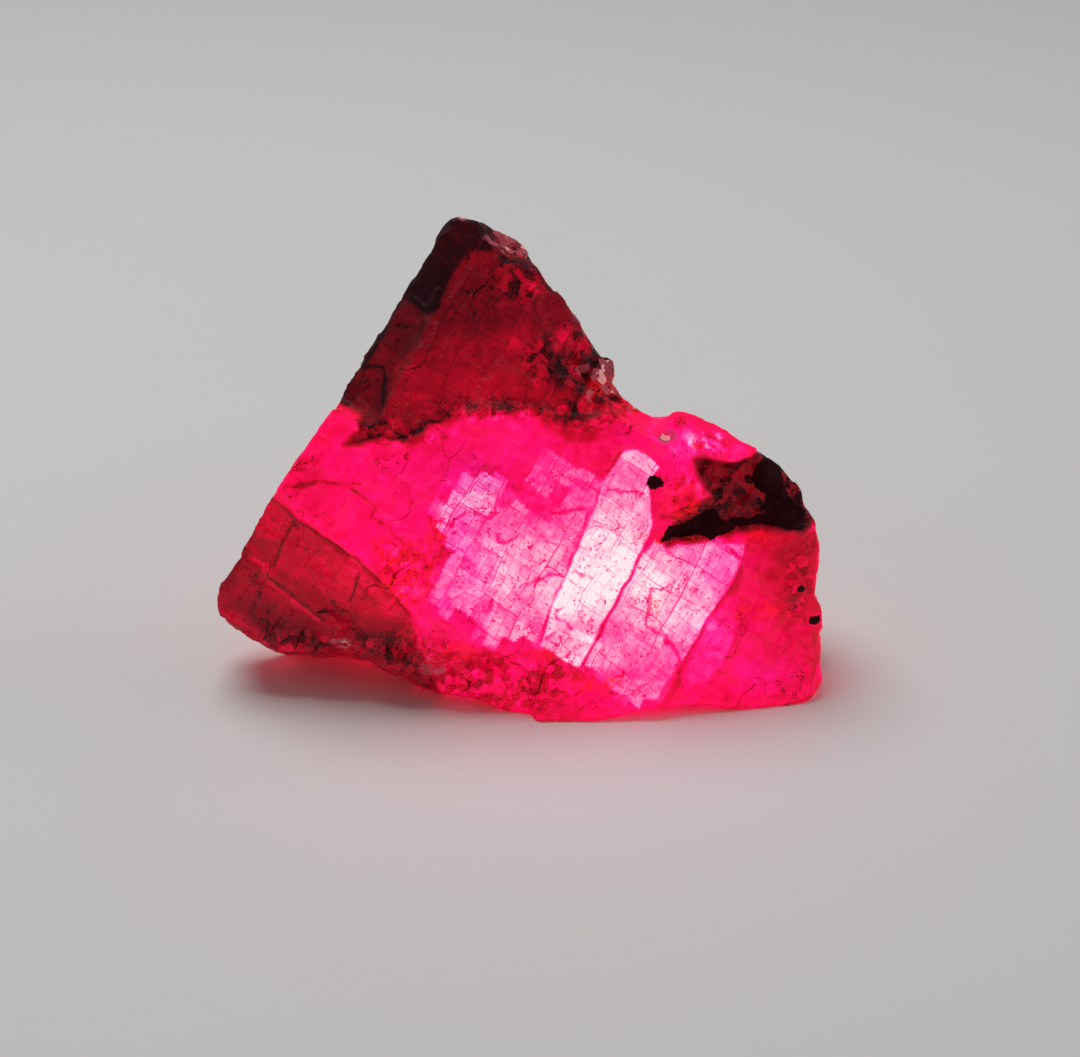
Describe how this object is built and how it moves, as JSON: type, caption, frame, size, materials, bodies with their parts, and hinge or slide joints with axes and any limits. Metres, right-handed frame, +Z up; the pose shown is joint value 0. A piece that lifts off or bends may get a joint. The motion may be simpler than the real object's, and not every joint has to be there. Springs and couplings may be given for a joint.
{
  "type": "raw ruby crystal",
  "caption": "Rough ruby crystal with a pointed upper part, a flat parted face, a dark matrix pocket and a broken foot.",
  "frame": {"origin": "middle of the bounding box at the resting face, on the surface it stands on", "axes": "+Z up, out of the resting face; the flat parted face looks towards -Y and leans back 14 degrees; +X to the right of that face, towards the side with the dark pocket"},
  "size_m": [0.024, 0.011, 0.0185],
  "materials": {
    "ruby": "translucent, natural parting faces with rough broken patches and dark matrix in one pocket"
  },
  "bodies": {
    "root": {"ruby_crystal": "ruby"}
  },
  "joints": []
}
